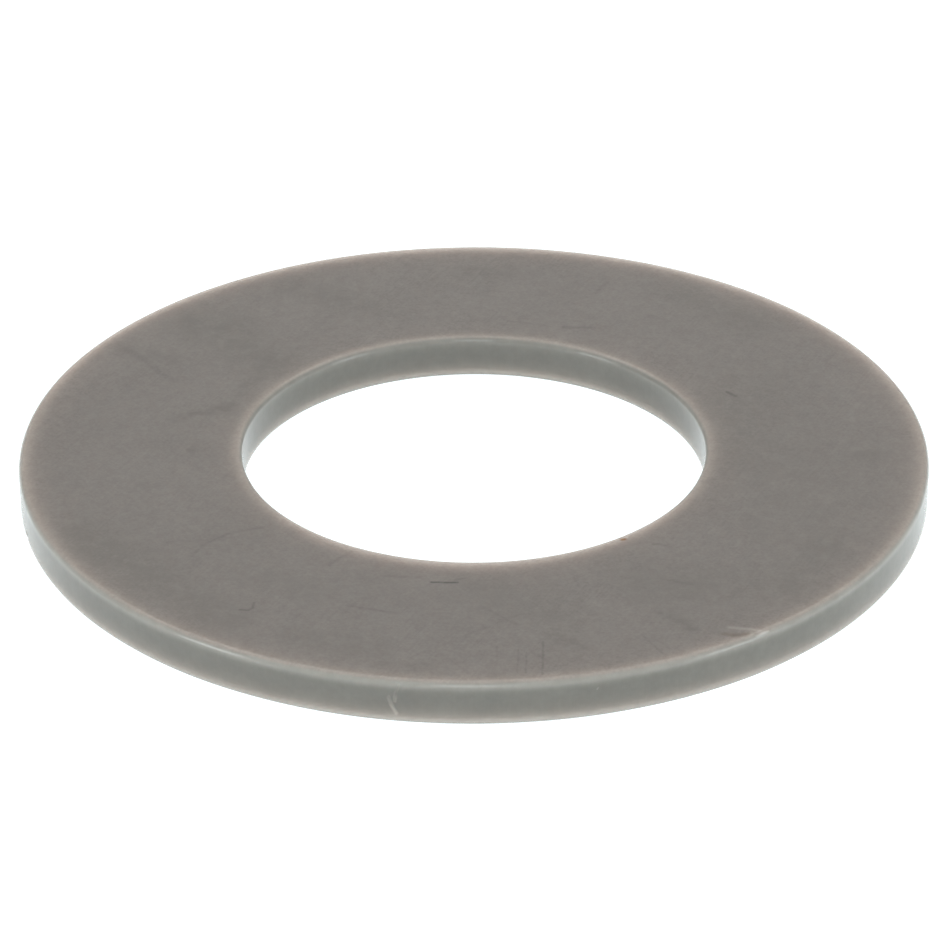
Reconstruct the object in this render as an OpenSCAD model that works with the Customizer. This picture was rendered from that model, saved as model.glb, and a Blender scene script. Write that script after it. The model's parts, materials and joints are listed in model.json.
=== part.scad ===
// Flat washer: one flat ring of grey plastic, made in one piece, that goes under the head or the
// nut of an M10 screw.
//
// The ring stands on its lower face. The origin is the centre of the bore in the plane of that
// face, and +Z runs up along the bore. Every size is in millimetres.

/* [Ring] */
// Outside diameter
outer_d = 20; // [16:0.5:40]
// Diameter of the bore, which clears the screw
bore_d = 10.2; // [4.2:0.1:13]
// Thickness, from the lower face to the upper face
thickness = 1; // [0.8:0.1:3]

/* [Edges] */
// Radius that rounds all four edges
edge_r = 0.12; // [0.05:0.01:0.35]

/* [Hidden] */
$fn = 192;
outer_r = outer_d / 2;
bore_r = bore_d / 2;

// A rectangle, given by two opposite corners.
module span(low, high) {
    translate(low) square(high - low);
}

// Half of a cut through the ring along its axis: X is the distance from the axis and Y is the
// height. Two rectangles make its flat sides, and a circle in each corner rounds the edge there.
module section() {
    span([bore_r, edge_r], [outer_r, thickness - edge_r]);
    span([bore_r + edge_r, 0], [outer_r - edge_r, thickness]);
    for (x = [bore_r + edge_r, outer_r - edge_r], y = [edge_r, thickness - edge_r])
        translate([x, y]) circle(edge_r);
}

module washer() {
    color("gray") rotate_extrude() section();
}

washer();
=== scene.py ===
# Looks for the flat washer: one ring of grey, slightly translucent plastic on a bright pale floor.
#
# The ring is a new mesh, turned from the CAD model's section, with the wear that has a real depth:
# the nicks in its wall, the burr on its edge and the gouges in its upper face. Its material adds
# the glow of the edges, partly painted, painted shade and highlights, the mottling, the stains and
# the fine scratches, one of which is a painted shadow.
#
# Lengths are in millimetres until a mesh, a lamp or the camera is made, and those are in metres.
# Angles are in degrees from +X towards +Y, so the side that faces the camera is at 270.

import json
import math

import bpy
from mathutils import Matrix, Vector, noise


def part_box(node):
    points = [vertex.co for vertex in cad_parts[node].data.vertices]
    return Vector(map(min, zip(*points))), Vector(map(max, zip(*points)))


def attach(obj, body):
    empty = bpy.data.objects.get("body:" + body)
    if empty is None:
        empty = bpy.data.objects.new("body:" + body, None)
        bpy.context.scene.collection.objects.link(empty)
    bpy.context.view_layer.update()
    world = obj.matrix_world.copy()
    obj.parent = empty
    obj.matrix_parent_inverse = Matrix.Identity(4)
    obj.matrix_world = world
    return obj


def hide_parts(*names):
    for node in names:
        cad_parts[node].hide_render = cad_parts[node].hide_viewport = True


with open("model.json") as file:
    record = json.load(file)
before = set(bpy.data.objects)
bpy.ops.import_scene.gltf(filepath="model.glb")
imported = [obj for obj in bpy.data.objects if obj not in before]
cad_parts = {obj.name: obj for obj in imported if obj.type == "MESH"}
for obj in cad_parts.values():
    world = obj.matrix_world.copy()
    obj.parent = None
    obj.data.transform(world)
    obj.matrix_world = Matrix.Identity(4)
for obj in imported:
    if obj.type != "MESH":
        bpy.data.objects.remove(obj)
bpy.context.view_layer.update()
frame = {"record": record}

MM = 0.001

# ---------------------------------------------------------------------------------------------
# Sizes, from the CAD model
# ---------------------------------------------------------------------------------------------

low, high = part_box("washer")
bore = next(m for m in frame["record"]["mounts"] if m["name"] == "bore")
OUTER_R = (high.x - low.x) / 2 / MM
BORE_R = bore["dims"]["r_mm"]
THICKNESS = (high.z - low.z) / MM
EDGE_R = (THICKNESS - bore["dims"]["length_mm"]) / 2

# ---------------------------------------------------------------------------------------------
# Wear: where the marks are
# ---------------------------------------------------------------------------------------------


def on_face(*points):
    """A line on the upper face, from (x, y) points."""
    return [Vector((x, y, THICKNESS)) for x, y in points]


def on_wall(angle, *points):
    """A line on the outer wall, from (distance along the wall from the angle, height) points."""
    line = []
    for along, height in points:
        turn = math.radians(angle) + along / OUTER_R
        line.append(Vector((OUTER_R * math.cos(turn), OUTER_R * math.sin(turn), height)))
    return line


# Marks that are both cut into the mesh and coloured.
GOUGE = on_face((-0.88, -5.99), (-0.62, -6.02), (-0.36, -6.01))
DENT = on_face((5.10, -8.10), (5.30, -8.14), (5.50, -8.12))
PIT = on_wall(284.2, (0.00, 0.67), (0.02, 0.70))
# Cut into the mesh: (line, half width, depth). A negative depth stands proud of the round edge.
NICK = [
    (on_wall(260.7, (0.10, 0.90), (0.03, 0.70), (0.01, 0.50)), 0.035, 0.030),
    (on_wall(260.7, (-0.11, 0.60), (-0.06, 0.42), (0.04, 0.24)), 0.040, 0.030),
]
CUTS = NICK + [
    (on_wall(194.6, (0.00, 0.08), (0.03, 0.20)), 0.060, 0.040),
    (PIT, 0.020, 0.005),
    (GOUGE, 0.040, 0.010),
    (DENT, 0.090, 0.010),
    (on_face((5.76, -8.16), (5.88, -8.07), (5.98, -7.99)), 0.045, -0.018),
]
# Thin dark scratches in the face, and one painted shadow: (line, half width, strength).
SCRATCHES_AND_SHADOW = [
    (GOUGE, 0.06, 1.30),
    (on_face((-0.40, -5.93), (-0.15, -5.83)), 0.06, 0.30),
    (on_face((-1.85, -5.75), (-1.15, -5.80)), 0.09, 0.22),
    (on_face((-5.95, -4.90), (-5.70, -4.40), (-5.20, -3.92), (-4.50, -3.70)), 0.08, 0.24),
    (on_face((-6.50, -4.30), (-5.40, -4.20)), 0.07, 0.15),
    (on_face((-4.82, -7.10), (-4.66, -7.12), (-4.56, -7.02), (-4.54, -6.82)), 0.06, 0.50),
    (on_face((-2.60, -6.95), (-1.60, -7.25)), 0.08, 0.28),
    (on_face((-8.20, 4.90), (-6.80, 3.00)), 0.16, 0.18),
    (on_face((-3.05, -5.30), (-2.60, -4.70)), 0.09, 0.25),
    (on_face((2.10, 5.62), (2.70, 5.60)), 0.12, 0.28),
    (on_face((0.80, 5.97), (1.70, 5.70)), 0.08, 0.18),
    (on_face((0.88, -8.70), (0.86, -9.60)), 0.04, 0.20),
    (on_face((1.05, -8.80), (1.02, -9.60)), 0.04, 0.26),
    (on_face((1.39, -8.40), (1.36, -9.65)), 0.05, 0.36),
    (on_face((0.45, -8.60), (0.44, -9.30)), 0.04, 0.16),
    (on_face((-1.30, -9.00), (0.95, -7.30)), 0.07, 0.14),
    (on_face((0.15, -7.00), (0.90, -7.75)), 0.07, 0.14),
    (on_face((3.40, -8.15), (3.80, -8.85)), 0.06, 0.20),
    # Painted shadow: a dark line along the lower side of a pale streak.
    (on_face((3.95, -5.92), (4.55, -6.13)), 0.13, 0.20),
    (on_face((5.72, 2.40), (5.88, 2.20)), 0.08, 0.60),
    (on_face((2.90, 7.40), (3.20, 8.00)), 0.11, 0.20),
    (DENT, 0.15, 0.40),
]
# Soft dark stains and rubbed patches, and a broad painted shade: (line, half width, strength).
STAINS_AND_SHADE = [
    (on_face((-6.60, 5.90), (-5.60, 5.40)), 1.30, 0.75),
    (on_face((-5.60, 5.10), (-4.70, 3.80)), 1.10, 0.70),
    # Painted shade: a broad darkening over the right of the face, where the light falls off.
    (on_face((6.00, 2.20), (7.20, -3.50)), 2.60, 0.32),
    (on_face((-6.55, 1.30), (-5.50, 1.75)), 0.30, 0.90),
    (on_face((-5.40, 1.80), (-5.00, 3.00), (-4.10, 4.40)), 0.50, 0.60),
    (on_face((-8.20, 4.60), (-6.90, 4.00)), 0.45, 0.45),
    (on_face((-4.30, 7.80), (-2.30, 6.60)), 0.80, 0.50),
    (on_face((-0.20, 8.60), (0.60, 8.55)), 0.60, 0.50),
    (on_face((5.00, 7.30), (6.50, 5.60)), 0.90, 0.50),
    (on_face((5.70, 2.60), (5.90, 0.20)), 1.10, 0.45),
    (on_face((8.50, -0.60), (8.80, -0.50)), 0.45, 0.55),
    (on_face((3.60, -6.20), (6.60, -6.20)), 1.20, 0.50),
    (on_face((6.70, -5.60), (7.60, -4.30)), 0.90, 0.50),
    (on_face((3.95, -7.35), (4.35, -7.85)), 0.32, 1.00),
    (on_face((1.50, -8.10), (2.20, -8.60)), 0.35, 0.70),
    (on_face((0.20, -6.40), (1.80, -7.60)), 1.30, 0.40),
    (on_face((-3.60, -8.20), (-2.00, -8.60)), 0.70, 0.55),
    (on_face((-1.95, -9.30), (-0.85, -9.35)), 0.30, 0.80),
    (on_face((-8.40, -3.90), (-7.00, -5.60), (-5.20, -7.40)), 1.10, 0.60),
    (on_face((-4.80, -5.60), (-3.20, -6.40)), 0.80, 0.35),
    (on_face((-6.15, -0.25), (-6.10, -0.20)), 0.20, 1.00),
    (on_face((-7.10, -1.90), (-7.00, -1.85)), 0.25, 0.90),
    (on_face((-5.35, -1.45), (-5.25, -1.40)), 0.18, 0.60),
    (on_face((6.88, 1.90), (6.94, 1.86)), 0.10, 1.00),
    (on_face((5.02, -1.72), (5.20, -1.70)), 0.16, 1.00),
    (on_face((3.92, -4.55), (4.02, -4.55)), 0.14, 1.00),
]
# Where the plastic is bruised white, and a painted highlight: (line, half width, strength).
NICK_SPREAD = 1.4
NICK_STRENGTH = 0.45
BRUISES_AND_HIGHLIGHT = [(line, half_width * NICK_SPREAD, NICK_STRENGTH) for line, half_width, _ in NICK] + [
    # Painted highlight: the pale light line along the burr.
    (on_face((5.74, -8.18), (5.88, -8.07), (6.01, -7.98)), 0.065, 0.90),
    (on_face((5.20, -7.85), (5.80, -7.98)), 0.09, 0.20),
    (PIT, 0.03, 0.15),
]
# Specks of brown dirt: (line, half width, strength).
DIRT = [
    (DENT, 0.13, 0.18),
    (on_face((3.13, -4.25), (3.18, -4.24)), 0.08, 1.00),
    (on_wall(221.5, (0.00, 0.06), (0.02, 0.08)), 0.07, 0.60),
]

# ---------------------------------------------------------------------------------------------
# The ring's mesh
# ---------------------------------------------------------------------------------------------

# Steps between the rows of the mesh: along the section, and round the ring. Fine steps are used
# within the margin of a cut.
FACE_STEP = 0.16
FACE_FINE_STEP = 0.03
FACE_MARGIN = 0.15
WALL_STEP = 0.03
LOWER_STEP = 0.6
ROUND_STEPS = 8
TURN_STEP = 0.75
TURN_FINE_STEP = 0.08
TURN_MARGIN = 1.0
# No cut is felt further than this from its first point.
CUT_REACH = 1.0
# How far the edges and walls wander from a true circle, and over what length.
WANDER = 0.006
WANDER_LENGTH = 1.7


def distance(point, line):
    """How far a point is from a line of points."""
    best = math.inf
    for start, end in zip(line, line[1:]):
        along = end - start
        share = (point - start).dot(along) / along.length_squared
        nearest = start + along * min(max(share, 0), 1)
        best = min(best, (point - nearest).length)
    return best


def ladder(start, stop, step, fine_step=None, fine_spans=()):
    """Places from start up to stop, closer together inside the fine spans."""
    places = [start]
    while places[-1] < stop:
        fine = any(a <= places[-1] <= b for a, b in fine_spans)
        places.append(places[-1] + (fine_step if fine else step))
    places[-1] = stop
    return places


def turn_places():
    """The angles of the mesh's sections, closer together round each cut."""
    spans = []
    for line, _, _ in CUTS:
        turns = [math.degrees(math.atan2(point.y, point.x)) % 360 for point in line]
        spans.append((min(turns) - TURN_MARGIN, max(turns) + TURN_MARGIN))
    return ladder(0, 360, TURN_STEP, TURN_FINE_STEP, spans)[:-1]


def edge_round(middle_r, middle_z, first):
    """The points inside one edge's quarter round, which starts facing the angle first."""
    points = []
    for step in range(1, ROUND_STEPS):
        facing = math.radians(first - 90 * step / ROUND_STEPS)
        out = (math.cos(facing), math.sin(facing))
        points.append((middle_r + EDGE_R * out[0], middle_z + EDGE_R * out[1], out))
    return points


def section_points():
    """The ring's section as (radius, height, outward direction), from the bore's upper edge."""
    inner, outer = BORE_R + EDGE_R, OUTER_R - EDGE_R
    lower, upper = EDGE_R, THICKNESS - EDGE_R
    radii = [point.xy.length for line, _, _ in CUTS for point in line]
    spans = [(r - FACE_MARGIN, r + FACE_MARGIN) for r in radii]
    wall = ladder(lower, upper, WALL_STEP)
    points = [(r, THICKNESS, (0, 1)) for r in ladder(inner, outer, FACE_STEP, FACE_FINE_STEP, spans)]
    points += edge_round(outer, upper, 90)
    points += [(OUTER_R, z, (1, 0)) for z in reversed(wall)]
    points += edge_round(outer, lower, 0)
    points += [(r, 0, (0, -1)) for r in reversed(ladder(inner, outer, LOWER_STEP))]
    points += edge_round(inner, lower, 270)
    points += [(BORE_R, z, (-1, 0)) for z in wall]
    points += edge_round(inner, upper, 180)
    return points


def wear(place, out):
    """How deep the worn surface lies under the true one, which faces out at that place."""
    depth = 0
    if out[0]:
        depth = WANDER * (0.5 + 0.5 * noise.noise(place / WANDER_LENGTH))
    for line, half_width, cut in CUTS:
        if (place - line[0]).length < CUT_REACH:
            reach = distance(place, line) / half_width
            depth += cut * math.exp(-reach * reach)
    return depth


def make_ring():
    """The washer's visible mesh."""
    turns, section = turn_places(), section_points()
    points = []
    for turn in turns:
        around = Vector((math.cos(math.radians(turn)), math.sin(math.radians(turn)), 0))
        for radius, height, out in section:
            place = around * radius + Vector((0, 0, height))
            facing = around * out[0] + Vector((0, 0, out[1]))
            worn = place - facing * wear(place, out)
            worn.z = min(worn.z, THICKNESS)
            points.append(worn * MM)
    rows, columns = len(section), len(turns)
    faces = []
    for column in range(columns):
        here, there = column * rows, (column + 1) % columns * rows
        for row in range(rows):
            after = (row + 1) % rows
            faces.append((here + row, here + after, there + after, there + row))
    mesh = bpy.data.meshes.new("washer_ring")
    mesh.from_pydata(points, [], faces)
    mesh.shade_smooth()
    mesh.materials.append(make_plastic())
    ring = bpy.data.objects.new("washer_ring", mesh)
    bpy.context.scene.collection.objects.link(ring)
    return ring


# ---------------------------------------------------------------------------------------------
# Materials
# ---------------------------------------------------------------------------------------------


class Tree:
    """The nodes of a material or world, added one call at a time. An input is a value or a socket."""

    def __init__(self, holder, output):
        holder.use_nodes = True
        self.holder = holder
        self.nodes = holder.node_tree.nodes
        self.links = holder.node_tree.links
        self.nodes.clear()
        self.output = self.nodes.new(output)

    def add(self, kind, inputs, **settings):
        node = self.nodes.new("ShaderNode" + kind)
        for name, value in settings.items():
            setattr(node, name, value)
        for key, value in inputs.items():
            if isinstance(value, bpy.types.NodeSocket):
                self.links.new(value, node.inputs[key])
            else:
                node.inputs[key].default_value = value
        return node

    def math(self, operation, *values):
        return self.add("Math", dict(enumerate(values)), operation=operation).outputs[0]

    def vector(self, operation, a, b):
        return self.add("VectorMath", {0: a, 1: b}, operation=operation).outputs["Vector"]

    def ramp(self, value, start, stop, low=0.0, high=1.0):
        """low where value is at start, high where it is at stop, and smooth between."""
        inputs = {"Value": value, "From Min": start, "From Max": stop, "To Min": low, "To Max": high}
        return self.add("MapRange", inputs, interpolation_type="SMOOTHSTEP").outputs["Result"]

    def noise(self, place, scale, detail=2.0, roughness=0.5):
        inputs = {"Vector": place, "Scale": scale, "Detail": detail, "Roughness": roughness}
        return self.add("TexNoise", inputs).outputs["Fac"]

    def grain(self, place, turn, size):
        """Noise whose features have a size along each axis, after a turn about Z."""
        inputs = {"Vector": place, "Rotation": (0, 0, math.radians(turn)), "Scale": size}
        stretched = self.add("Mapping", inputs, vector_type="TEXTURE").outputs["Vector"]
        return self.noise(stretched, 1.0)

    def mix(self, share, a, b):
        return self.add("Mix", {0: share, 6: a, 7: b}, data_type="RGBA").outputs[2]

    def total(self, values):
        """The sum of some values."""
        whole = values[0]
        for value in values[1:]:
            whole = self.math("ADD", whole, value)
        return whole

    def near(self, place, start, end, half_width, strength):
        """strength on the straight line from start to end, falling to 0 at half_width from it."""
        along = end - start
        away = self.vector("SUBTRACT", place, start)
        share = self.add("VectorMath", {0: away, 1: along / along.length_squared}, operation="DOT_PRODUCT")
        share = self.math("MINIMUM", self.math("MAXIMUM", share.outputs["Value"], 0), 1)
        nearest = self.add("VectorMath", {0: along, "Scale": share}, operation="SCALE").outputs["Vector"]
        gap = self.add("VectorMath", {0: away, 1: nearest}, operation="DISTANCE").outputs["Value"]
        return self.ramp(gap, 0, half_width, strength, 0)

    def marks(self, place, marks):
        """The strongest of some marks at each place, from 0 to 1."""
        whole = 0.0
        for line, half_width, strength in marks:
            for start, end in zip(line, line[1:]):
                whole = self.math("MAXIMUM", whole, self.near(place, start, end, half_width, strength))
        return whole

    def surface(self, shader):
        self.links.new(shader.outputs[0], self.output.inputs["Surface"])
        return self.holder


# The plastic on a face, its rim's painted glow, the walls' painted shade and their painted highlight.
SKIN = (0.184, 0.175, 0.166)
# Painted glow: the face's rims are paler and warmer, as if lit through the edges.
RIM_GLOW = (0.213, 0.194, 0.176)
# Painted shade: the walls, the same plastic as the face, are painted darker and cooler.
WALL_SHADE = (0.136, 0.136, 0.125)
# Painted highlight: the pale light line along the top of each wall.
LIP_HIGHLIGHT = (0.210, 0.210, 0.195)
# The colour of the stains and of the painted shade.
STAIN_AND_SHADE_COLOUR = (0.150, 0.145, 0.135)
# The colour of the scratches and of the painted shadow.
SCRATCH_AND_SHADOW_COLOUR = (0.085, 0.085, 0.078)
# The colour of the bruises and of the painted highlight on the burr.
BRUISE_AND_HIGHLIGHT_COLOUR = (0.450, 0.450, 0.430)
DIRTY = (0.110, 0.045, 0.015)
# How far under the upper face the colour of the face begins and is whole, and that of the lip, the
# top of a wall, where a highlight is painted pale. The bore's painted highlight is weaker.
FACE_START = 0.40 * EDGE_R
FACE_WHOLE = 0.02 * EDGE_R
LIP_HIGHLIGHT_START = 2.6 * EDGE_R
LIP_HIGHLIGHT_WHOLE = 0.5 * EDGE_R
BORE_LIP_HIGHLIGHT = 0.35
# How far in from the edges the painted glow of the rim reaches.
RIM_GLOW_WIDTH = 0.42
# How far light travels inside the plastic, for red, green and blue.
GLOW_LENGTH = 2.85
GLOW_RGB = (1.0, 0.85, 0.79)
PLASTIC_IOR = 1.5
# How much the tone swings with each kind of noise, and the share of the fine kinds on the walls.
CLOUD_TONE = 0.03
SPECKLE_TONE = 0.045
GRAIN_TONE = 0.06
HAIRLINE_TONE = 0.055
WALL_SHARE = 0.15
# Noise: (features in a millimetre, detail, roughness).
CLOUD_NOISE = (0.7, 4.0, 0.6)
SPECKLE_NOISE = (4.0, 3.0, 0.7)
PATCH_NOISE = (2.2, 4.0, 0.7)
BROKEN_SCALE = 5.0
RUBBED_SCALE = 0.8
WOBBLE_SCALE = 3.0
# The part of the noise's values, which lie from 0 to 1, that a change is spread over.
BROAD = (0.25, 0.75)
MIDDLE = (0.30, 0.70)
NARROW = (0.35, 0.65)
LOWER_HALF = (0.35, 0.60)
# What noise leaves of the stains and painted shade, and of the scratches and painted shadow, where
# weakest.
STAIN_AND_SHADE_LEFT = 0.25
SCRATCH_AND_SHADOW_LEFT = 0.50
# Fields of fine parallel scratches: (direction, share of the whole effect).
HAIRLINES = [(64, 0.5), (-50, 0.3), (5, 0.2)]
HAIRLINE_SIZE = (2.2, 0.05, 1.0)
GRAIN_SIZE = (0.06, 0.06, 2.0)
# How far noise shifts the sharp marks and the soft ones.
SHARP_SHIFT = 0.05
SOFT_SHIFT = 0.50
ROUGHNESS = (0.15, 0.19)
RUBBED_ROUGHER = 0.02
STAIN_AND_SHADE_ROUGHER = 0.03
SCRATCH_AND_SHADOW_ROUGHER = 0.02


def plastic_regions(tree, place):
    """The share of face, of its rim's painted glow and of the walls' painted highlight at each place."""
    height = tree.add("SeparateXYZ", {0: place}).outputs["Z"]
    flat = tree.vector("MULTIPLY", place, (1, 1, 0))
    radius = tree.add("VectorMath", {0: flat}, operation="LENGTH").outputs["Value"]
    face = tree.ramp(height, THICKNESS - FACE_START, THICKNESS - FACE_WHOLE)
    from_outside = tree.math("SUBTRACT", OUTER_R, radius)
    from_bore = tree.math("SUBTRACT", radius, BORE_R)
    rim = tree.ramp(tree.math("MINIMUM", from_outside, from_bore), RIM_GLOW_WIDTH, 0)
    # The painted highlight at the top of the walls, weaker in the bore.
    lip_highlight = tree.ramp(height, THICKNESS - LIP_HIGHLIGHT_START, THICKNESS - LIP_HIGHLIGHT_WHOLE)
    lip_highlight = tree.math("MULTIPLY", lip_highlight, lip_highlight)
    lip_highlight = tree.math("MULTIPLY", lip_highlight, tree.ramp(radius, BORE_R, OUTER_R, BORE_LIP_HIGHLIGHT, 1.0))
    return face, rim, lip_highlight


def plastic_tone(tree, place, face, speckle, rubbed):
    """How much lighter or darker than its colour the plastic is: mottling, grain and hairlines."""
    clouds = tree.noise(place, *CLOUD_NOISE)
    grain = tree.grain(place, 0, GRAIN_SIZE)
    hairs = tree.total([
        tree.math("MULTIPLY", tree.grain(place, turn, HAIRLINE_SIZE), share)
        for turn, share in HAIRLINES
    ])
    hairs = tree.ramp(hairs, *MIDDLE, HAIRLINE_TONE, -HAIRLINE_TONE)
    fine = tree.total([
        tree.ramp(grain, *BROAD, -GRAIN_TONE, GRAIN_TONE),
        tree.math("MULTIPLY", hairs, rubbed),
    ])
    return tree.total([
        1.0,
        tree.ramp(clouds, *MIDDLE, -CLOUD_TONE, CLOUD_TONE),
        tree.ramp(speckle, *BROAD, -SPECKLE_TONE, SPECKLE_TONE),
        tree.math("MULTIPLY", fine, tree.math("MULTIPLY_ADD", face, 1 - WALL_SHARE, WALL_SHARE)),
    ])


def plastic_marks(tree, place):
    """Shares at each place of stain and painted shade, scratch and painted shadow, bruise and painted
    highlight, and dirt.
    """
    wobble = tree.add("TexNoise", {"Vector": place, "Scale": WOBBLE_SCALE, "Detail": 1.0}).outputs["Color"]
    shift = tree.vector("SUBTRACT", wobble, (0.5, 0.5, 0.5))
    sharp = tree.vector("ADD", place, tree.vector("MULTIPLY", shift, (SHARP_SHIFT, SHARP_SHIFT, 0)))
    soft = tree.vector("ADD", place, tree.vector("MULTIPLY", shift, (SOFT_SHIFT, SOFT_SHIFT, 0)))
    patchy = tree.ramp(tree.noise(place, *PATCH_NOISE), *LOWER_HALF, STAIN_AND_SHADE_LEFT, 1.0)
    stains_and_shade = tree.math("MULTIPLY", tree.marks(soft, STAINS_AND_SHADE), patchy)
    broken = tree.ramp(tree.noise(place, BROKEN_SCALE), *LOWER_HALF, SCRATCH_AND_SHADOW_LEFT, 1.0)
    scratches_and_shadow = tree.math("MULTIPLY", tree.marks(sharp, SCRATCHES_AND_SHADOW), broken)
    return stains_and_shade, scratches_and_shadow, tree.marks(sharp, BRUISES_AND_HIGHLIGHT), tree.marks(sharp, DIRT)


def make_plastic():
    """Satin grey plastic that lets light through its edges, with painted glow, shade and highlights, and
    the marks of handling.
    """
    tree = Tree(bpy.data.materials.new("satin_plastic"), "ShaderNodeOutputMaterial")
    position = tree.add("TexCoord", {}).outputs["Object"]
    place = tree.vector("DIVIDE", position, (MM, MM, MM))
    face, rim, lip_highlight = plastic_regions(tree, place)
    speckle = tree.noise(place, *SPECKLE_NOISE)
    rubbed = tree.ramp(tree.noise(place, RUBBED_SCALE), *NARROW)
    tone = plastic_tone(tree, place, face, speckle, rubbed)
    stains_and_shade, scratches_and_shadow, bruises_and_highlight, dirt = plastic_marks(tree, place)

    # The walls in painted shade, with a painted highlight along their tops.
    wall = tree.mix(lip_highlight, (*WALL_SHADE, 1), (*LIP_HIGHLIGHT, 1))
    # The face, with a painted glow at its rims.
    face_and_rim_glow = tree.mix(rim, (*SKIN, 1), (*RIM_GLOW, 1))
    colour = tree.mix(face, wall, face_and_rim_glow)
    colour = tree.add("HueSaturation", {"Color": colour, "Value": tone}).outputs["Color"]
    # Stains, and the painted shade over the right of the face.
    colour = tree.mix(stains_and_shade, colour, (*STAIN_AND_SHADE_COLOUR, 1))
    # Scratches, and one painted shadow.
    colour = tree.mix(scratches_and_shadow, colour, (*SCRATCH_AND_SHADOW_COLOUR, 1))
    # Bruises, and the painted highlight along the burr.
    colour = tree.mix(bruises_and_highlight, colour, (*BRUISE_AND_HIGHLIGHT_COLOUR, 1))
    colour = tree.mix(dirt, colour, (*DIRTY, 1))
    rough = tree.total([
        tree.ramp(speckle, *MIDDLE, *ROUGHNESS),
        tree.math("MULTIPLY", rubbed, RUBBED_ROUGHER),
        tree.math("MULTIPLY", stains_and_shade, STAIN_AND_SHADE_ROUGHER),
        tree.math("MULTIPLY", scratches_and_shadow, SCRATCH_AND_SHADOW_ROUGHER),
    ])
    shader = tree.add(
        "BsdfPrincipled",
        {
            "Base Color": colour,
            "Roughness": rough,
            "IOR": PLASTIC_IOR,
            "Subsurface Weight": 1.0,
            "Subsurface Radius": GLOW_RGB,
            "Subsurface Scale": GLOW_LENGTH * MM,
        },
        subsurface_method="RANDOM_WALK",
    )
    return tree.surface(shader)


def make_floor_material():
    """A pale floor that shines like a light table, so that it shows no shadow."""
    tree = Tree(bpy.data.materials.new("pale_floor"), "ShaderNodeOutputMaterial")
    place = tree.add("TexCoord", {}).outputs["Object"]
    tone = tree.ramp(tree.noise(place, *FLOOR_NOISE), *MIDDLE, *FLOOR_TONE)
    shader = tree.add(
        "BsdfPrincipled",
        {
            "Base Color": tree.add("CombineColor", {0: tone, 1: tone, 2: tone}).outputs["Color"],
            "Roughness": FLOOR_ROUGHNESS,
            "Emission Color": (*FLOOR_RGB, 1),
            "Emission Strength": FLOOR_GLOW,
        },
    )
    return tree.surface(shader)


# ---------------------------------------------------------------------------------------------
# Floor, light and camera
# ---------------------------------------------------------------------------------------------

FLOOR_R = 60 * OUTER_R
FLOOR_GAP = 0.002
FLOOR_SIDES = 64
FLOOR_NOISE = (4.0, 3.0, 0.6)
FLOOR_TONE = (0.29, 0.31)
FLOOR_ROUGHNESS = 0.9
FLOOR_RGB = (1.0, 1.08, 1.09)
FLOOR_GLOW = 0.96
WORLD_RGB = (1.0, 1.0, 0.98)
WORLD_STRENGTH = 0.51
# The band is a height of the direction, where 1 is straight up. It is weaker behind the washer.
BAND_HEIGHT = 0.70
BAND_SPREAD = 0.26
BAND_STRENGTH = 0.57
BAND_BACKWARD = -1.00
TOP_AZIMUTH = 180
TOP_ELEVATION = 70
TOP_DISTANCE = 13.4 * OUTER_R
TOP_SIZE = 13.7 * OUTER_R
TOP_POWER = 0.066
TOP_RGB = (1.0, 0.99, 0.95)
# The low lamps: (name, azimuth, elevation, power). They give the wall's edge its light line,
# which the material also paints as a highlight.
FRONT_LAMPS = [("front", 0, 18, 0.054), ("left", -62, 9, 0.075), ("right", 62, 9, 0.075)]
FRONT_DISTANCE = 20 * OUTER_R
FRONT_SIZE = 5.7 * OUTER_R
FRONT_RGB = (1.0, 1.08, 1.09)
CAMERA_DISTANCE = 9.16 * OUTER_R
CAMERA_ELEVATION = 28.91
CAMERA_AIM_BELOW = 0.167
CAMERA_AIM_ASIDE = -0.016
CAMERA_ROLL = -0.19
CAMERA_LENS = 156.8
SENSOR = 36.0
CLIP_NEAR = 0.02 * CAMERA_DISTANCE
CLIP_FAR = 100 * CAMERA_DISTANCE


def direction(azimuth, elevation):
    """From the washer towards a place round it. Azimuth 0 is the photographed side, which is -Y."""
    a, e = math.radians(azimuth), math.radians(elevation)
    return Vector((math.sin(a) * math.cos(e), -math.cos(a) * math.cos(e), math.sin(e)))


def make_floor():
    """A round floor, just under the washer's lower face."""
    rim = [math.tau * side / FLOOR_SIDES for side in range(FLOOR_SIDES)]
    points = [Vector((math.cos(a) * FLOOR_R, math.sin(a) * FLOOR_R, -FLOOR_GAP)) * MM for a in rim]
    mesh = bpy.data.meshes.new("floor")
    mesh.from_pydata(points, [], [tuple(range(FLOOR_SIDES))])
    mesh.materials.append(make_floor_material())
    floor = bpy.data.objects.new("floor", mesh)
    bpy.context.scene.collection.objects.link(floor)
    return floor


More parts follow.
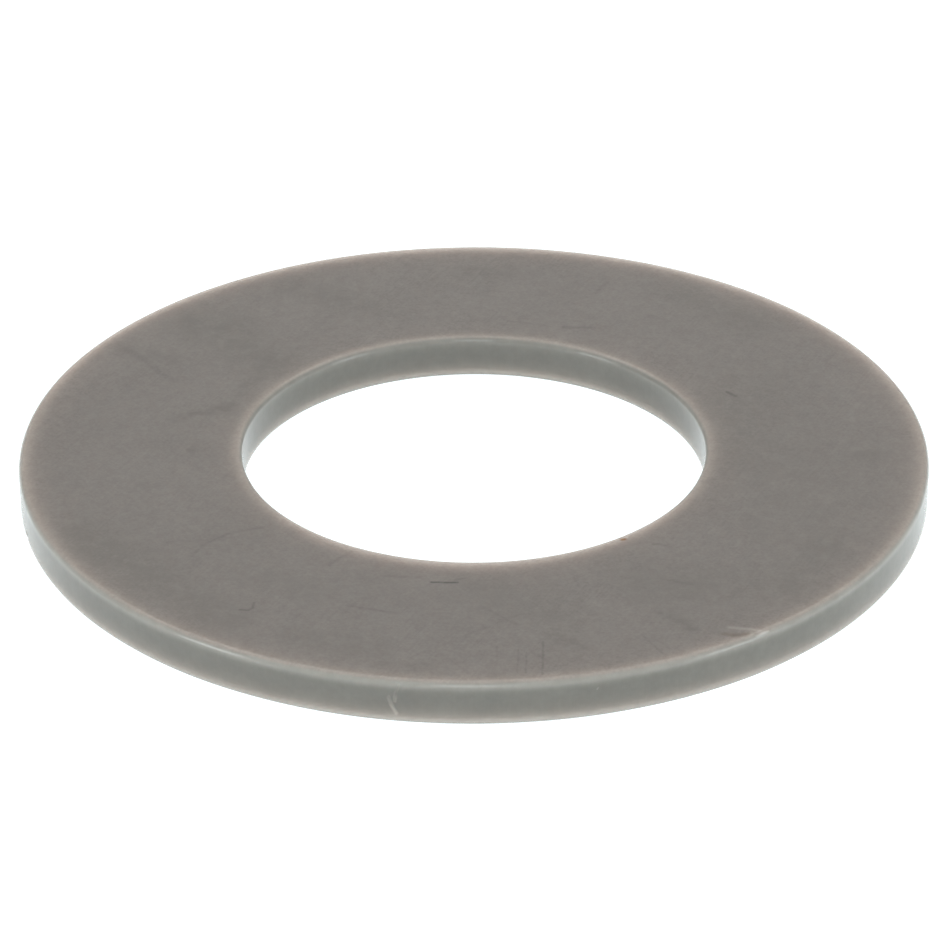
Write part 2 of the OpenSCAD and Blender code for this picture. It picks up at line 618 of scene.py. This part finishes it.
def make_world():
    """Soft light from all round, stronger in a band part of the way up, as from a light tent.

    The camera itself sees plain white.
    """
    tree = Tree(bpy.data.worlds.new("studio"), "ShaderNodeOutputWorld")
    towards = tree.add("TexCoord", {}).outputs["Generated"]
    towards = tree.add("SeparateXYZ", {0: towards}).outputs
    rise = tree.ramp(towards["Z"], BAND_HEIGHT - BAND_SPREAD, BAND_HEIGHT)
    fall = tree.ramp(towards["Z"], BAND_HEIGHT + BAND_SPREAD, BAND_HEIGHT)
    band = tree.math("MULTIPLY", rise, fall)
    band = tree.math("MULTIPLY", band, tree.math("MULTIPLY_ADD", towards["Y"], BAND_BACKWARD, 1.0))
    strength = tree.math("MULTIPLY_ADD", band, BAND_STRENGTH, WORLD_STRENGTH)
    light = tree.add("Background", {"Color": (*WORLD_RGB, 1), "Strength": strength})
    white = tree.add("Background", {"Color": (1, 1, 1, 1), "Strength": 1.0})
    seen = tree.add("LightPath", {}).outputs["Is Camera Ray"]
    mix = tree.add("MixShader", {0: seen, 1: light.outputs[0], 2: white.outputs[0]})
    bpy.context.scene.world = tree.surface(mix)


def make_lamp(name, azimuth, elevation, distance_mm, size_mm, power, colour):
    """A square soft light that faces the washer."""
    lamp = bpy.data.lights.new(name, "AREA")
    lamp.size = size_mm * MM
    lamp.energy = power
    lamp.color = colour
    holder = bpy.data.objects.new(name, lamp)
    bpy.context.scene.collection.objects.link(holder)
    back = direction(azimuth, elevation)
    holder.location = back * distance_mm * MM
    holder.rotation_euler = back.to_track_quat("Z", "Y").to_euler()


def make_camera():
    """The camera of the photo. A small turn down and a small roll frame it as the photo is."""
    camera = bpy.data.cameras.new("camera")
    camera.lens = CAMERA_LENS
    camera.sensor_width = SENSOR
    camera.clip_start = CLIP_NEAR * MM
    camera.clip_end = CLIP_FAR * MM
    holder = bpy.data.objects.new("camera", camera)
    bpy.context.scene.collection.objects.link(holder)
    back = direction(0, CAMERA_ELEVATION)
    aim = direction(CAMERA_AIM_ASIDE, CAMERA_ELEVATION + CAMERA_AIM_BELOW)
    holder.location = (Vector((0, 0, THICKNESS / 2)) + back * CAMERA_DISTANCE) * MM
    turned = aim.to_track_quat("Z", "Y").to_matrix() @ Matrix.Rotation(math.radians(CAMERA_ROLL), 3, "Z")
    holder.rotation_euler = turned.to_euler()
    bpy.context.scene.camera = holder


make_camera()
make_world()
make_lamp("top", TOP_AZIMUTH, TOP_ELEVATION, TOP_DISTANCE, TOP_SIZE, TOP_POWER, TOP_RGB)
for name, azimuth, elevation, power in FRONT_LAMPS:
    make_lamp(name, azimuth, elevation, FRONT_DISTANCE, FRONT_SIZE, power, FRONT_RGB)
ring = make_ring()
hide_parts("washer")
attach(ring, "root")
make_floor()
bpy.context.scene.view_settings.view_transform = "Standard"
